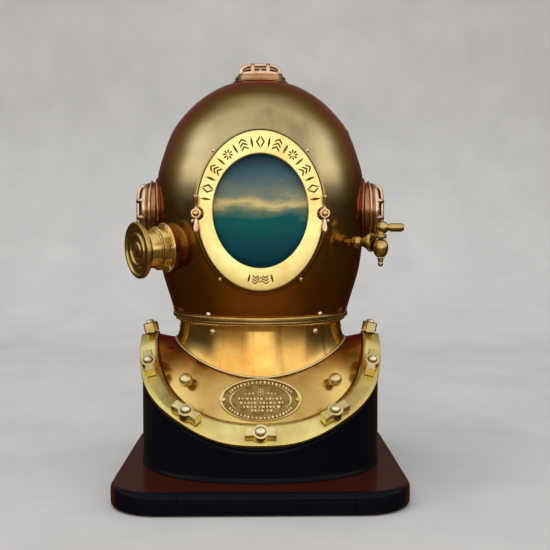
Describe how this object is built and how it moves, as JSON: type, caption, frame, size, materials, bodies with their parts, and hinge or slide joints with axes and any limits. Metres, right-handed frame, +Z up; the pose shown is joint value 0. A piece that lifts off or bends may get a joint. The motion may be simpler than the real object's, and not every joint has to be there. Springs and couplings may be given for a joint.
{
  "type": "decorative diving helmet on stand",
  "caption": "Copper and brass diving helmet with oval front port, guarded side and top ports, valve and spit cock, on a saddle-cut black wooden stand.",
  "frame": {"origin": "centre of the underside of the stand", "axes": "+Z up, the oval front port faces -Y, +X is to the right of someone facing the port"},
  "size_m": [0.3, 0.306, 0.456],
  "materials": {
    "lacquer_wood": "black gloss lacquer",
    "felt": "matte felt",
    "steel_screw": "satin",
    "bronzed_copper": "antique bronze lacquer over spun sheet",
    "polished_brass": "polished",
    "brass": "polished cast brass",
    "copper": "polished red brass",
    "port_glass": "dark tinted",
    "leather_washer": "natural",
    "rubber_seal": "matte"
  },
  "bodies": {
    "stand": {"base_felt": "felt", "base_plate": "lacquer_wood", "pedestal": "lacquer_wood", "pedestal_screw_1": "steel_screw", "pedestal_screw_2": "steel_screw", "pedestal_screw_3": "steel_screw", "pedestal_screw_4": "steel_screw", "breastplate": "bronzed_copper", "collar": "polished_brass", "lower_neck_ring": "brass", "neck_gasket": "leather_washer", "rim_band_front": "polished_brass", "rim_band_rear": "polished_brass", "name_plate": "brass", "plate_rivet_left": "brass", "plate_rivet_right": "brass", "chest_knob_left": "brass", "chest_knob_right": "brass"},
    "bonnet": {"bonnet_shell": "bronzed_copper", "port_frame": "bronzed_copper", "face_ring": "polished_brass", "upper_neck_ring": "brass", "left_port_frame": "brass", "right_port_frame": "brass", "top_port_frame": "brass", "exhaust_body": "brass", "spitcock_pipe": "brass", "spitcock_body": "brass", "spitcock_bottom_nut": "brass", "inlet_elbow": "brass", "crown_cap": "brass", "left_port_guard": "copper", "right_port_guard": "copper", "top_port_guard": "copper", "front_glass": "port_glass", "left_port_glass": "port_glass", "right_port_glass": "port_glass", "top_port_glass": "port_glass", "port_gasket": "rubber_seal", "exhaust_spring": "steel_screw"},
    "body_wing_nut_01": {"wing_nut_01": "brass"},
    "body_wing_nut_02": {"wing_nut_02": "brass"},
    "body_wing_nut_03": {"wing_nut_03": "brass"},
    "body_wing_nut_04": {"wing_nut_04": "brass"},
    "body_wing_nut_05": {"wing_nut_05": "brass"},
    "body_wing_nut_06": {"wing_nut_06": "brass"},
    "body_wing_nut_07": {"wing_nut_07": "brass"},
    "body_wing_nut_08": {"wing_nut_08": "brass"},
    "body_wing_nut_09": {"wing_nut_09": "brass"},
    "body_wing_nut_10": {"wing_nut_10": "brass"},
    "body_wing_nut_11": {"wing_nut_11": "brass"},
    "body_wing_nut_12": {"wing_nut_12": "brass"},
    "body_exhaust_handwheel": {"exhaust_handwheel": "brass"},
    "body_face_wing_nut_left": {"face_wing_nut_left": "copper"},
    "body_face_wing_nut_right": {"face_wing_nut_right": "copper"},
    "body_inlet_union_nut": {"inlet_union_nut": "brass"},
    "body_spitcock_lever": {"spitcock_lever": "brass"},
    "body_swing_bolt_left": {"swing_bolt_left": "brass"},
    "body_swing_bolt_right": {"swing_bolt_right": "brass"}
  },
  "joints": [
    {"name": "bonnet_turn", "type": "hinge", "parent": "stand", "child": "bonnet", "pos_m": [0, 0, 0.1808], "axis": [0, 0, 1], "range_deg": [0, 45]},
    {"name": "spin_wing_nut_01", "type": "hinge", "parent": "stand", "child": "body_wing_nut_01", "pos_m": [0, -0.12111, 0.06909], "axis": [0, -0.7932, 0.609], "continuous": true},
    {"name": "spin_wing_nut_02", "type": "hinge", "parent": "stand", "child": "body_wing_nut_02", "pos_m": [0.07394, -0.1056, 0.08494], "axis": [0.0065, -0.6283, 0.7779], "continuous": true},
    {"name": "spin_wing_nut_03", "type": "hinge", "parent": "stand", "child": "body_wing_nut_03", "pos_m": [0.11709, -0.04495, 0.1259], "axis": [0.1068, -0.6037, 0.79], "continuous": true},
    {"name": "spin_wing_nut_04", "type": "hinge", "parent": "stand", "child": "body_wing_nut_04", "pos_m": [0.12019, 0, 0.15732], "axis": [0.2009, 0, 0.9796], "continuous": true},
    {"name": "spin_wing_nut_05", "type": "hinge", "parent": "stand", "child": "body_wing_nut_05", "pos_m": [0.11709, 0.04495, 0.1259], "axis": [0.1068, 0.6037, 0.79], "continuous": true},
    {"name": "spin_wing_nut_06", "type": "hinge", "parent": "stand", "child": "body_wing_nut_06", "pos_m": [0.07394, 0.1056, 0.08494], "axis": [0.0065, 0.6283, 0.7779], "continuous": true},
    {"name": "spin_wing_nut_07", "type": "hinge", "parent": "stand", "child": "body_wing_nut_07", "pos_m": [0, 0.12111, 0.06909], "axis": [0, 0.7932, 0.609], "continuous": true},
    {"name": "spin_wing_nut_08", "type": "hinge", "parent": "stand", "child": "body_wing_nut_08", "pos_m": [-0.07394, 0.1056, 0.08494], "axis": [-0.0065, 0.6283, 0.7779], "continuous": true},
    {"name": "spin_wing_nut_09", "type": "hinge", "parent": "stand", "child": "body_wing_nut_09", "pos_m": [-0.11709, 0.04495, 0.1259], "axis": [-0.1068, 0.6037, 0.79], "continuous": true},
    {"name": "spin_wing_nut_10", "type": "hinge", "parent": "stand", "child": "body_wing_nut_10", "pos_m": [-0.12019, 0, 0.15732], "axis": [-0.2009, 0, 0.9796], "continuous": true},
    {"name": "spin_wing_nut_11", "type": "hinge", "parent": "stand", "child": "body_wing_nut_11", "pos_m": [-0.11709, -0.04495, 0.1259], "axis": [-0.1068, -0.6037, 0.79], "continuous": true},
    {"name": "spin_wing_nut_12", "type": "hinge", "parent": "stand", "child": "body_wing_nut_12", "pos_m": [-0.07394, -0.1056, 0.08494], "axis": [-0.0065, -0.6283, 0.7779], "continuous": true},
    {"name": "swing_left", "type": "hinge", "parent": "bonnet", "child": "body_swing_bolt_left", "pos_m": [-0.0622, -0.1075, 0.289], "axis": [0, 0, -1], "range_deg": [0, 100]},
    {"name": "spin_face_nut_left", "type": "hinge", "parent": "body_swing_bolt_left", "child": "body_face_wing_nut_left", "pos_m": [-0.0622, -0.1275, 0.289], "axis": [0, -1, 0], "continuous": true},
    {"name": "swing_right", "type": "hinge", "parent": "bonnet", "child": "body_swing_bolt_right", "pos_m": [0.0622, -0.1075, 0.289], "axis": [0, 0, 1], "range_deg": [0, 100]},
    {"name": "spin_face_nut_right", "type": "hinge", "parent": "body_swing_bolt_right", "child": "body_face_wing_nut_right", "pos_m": [0.0622, -0.1275, 0.289], "axis": [0, -1, 0], "continuous": true},
    {"name": "exhaust_wheel_turn", "type": "hinge", "parent": "bonnet", "child": "body_exhaust_handwheel", "pos_m": [-0.09549, -0.05967, 0.256], "axis": [-0.8448, -0.5279, -0.0872], "continuous": true},
    {"name": "spitcock_lever_turn", "type": "hinge", "parent": "bonnet", "child": "body_spitcock_lever", "pos_m": [0.12212, -0.08711, 0.255], "axis": [0, 0, -1], "range_deg": [0, 90]},
    {"name": "inlet_nut_spin", "type": "hinge", "parent": "bonnet", "child": "body_inlet_union_nut", "pos_m": [0.05244, 0.12981, 0.225], "axis": [0, 0, 1], "continuous": true}
  ]
}
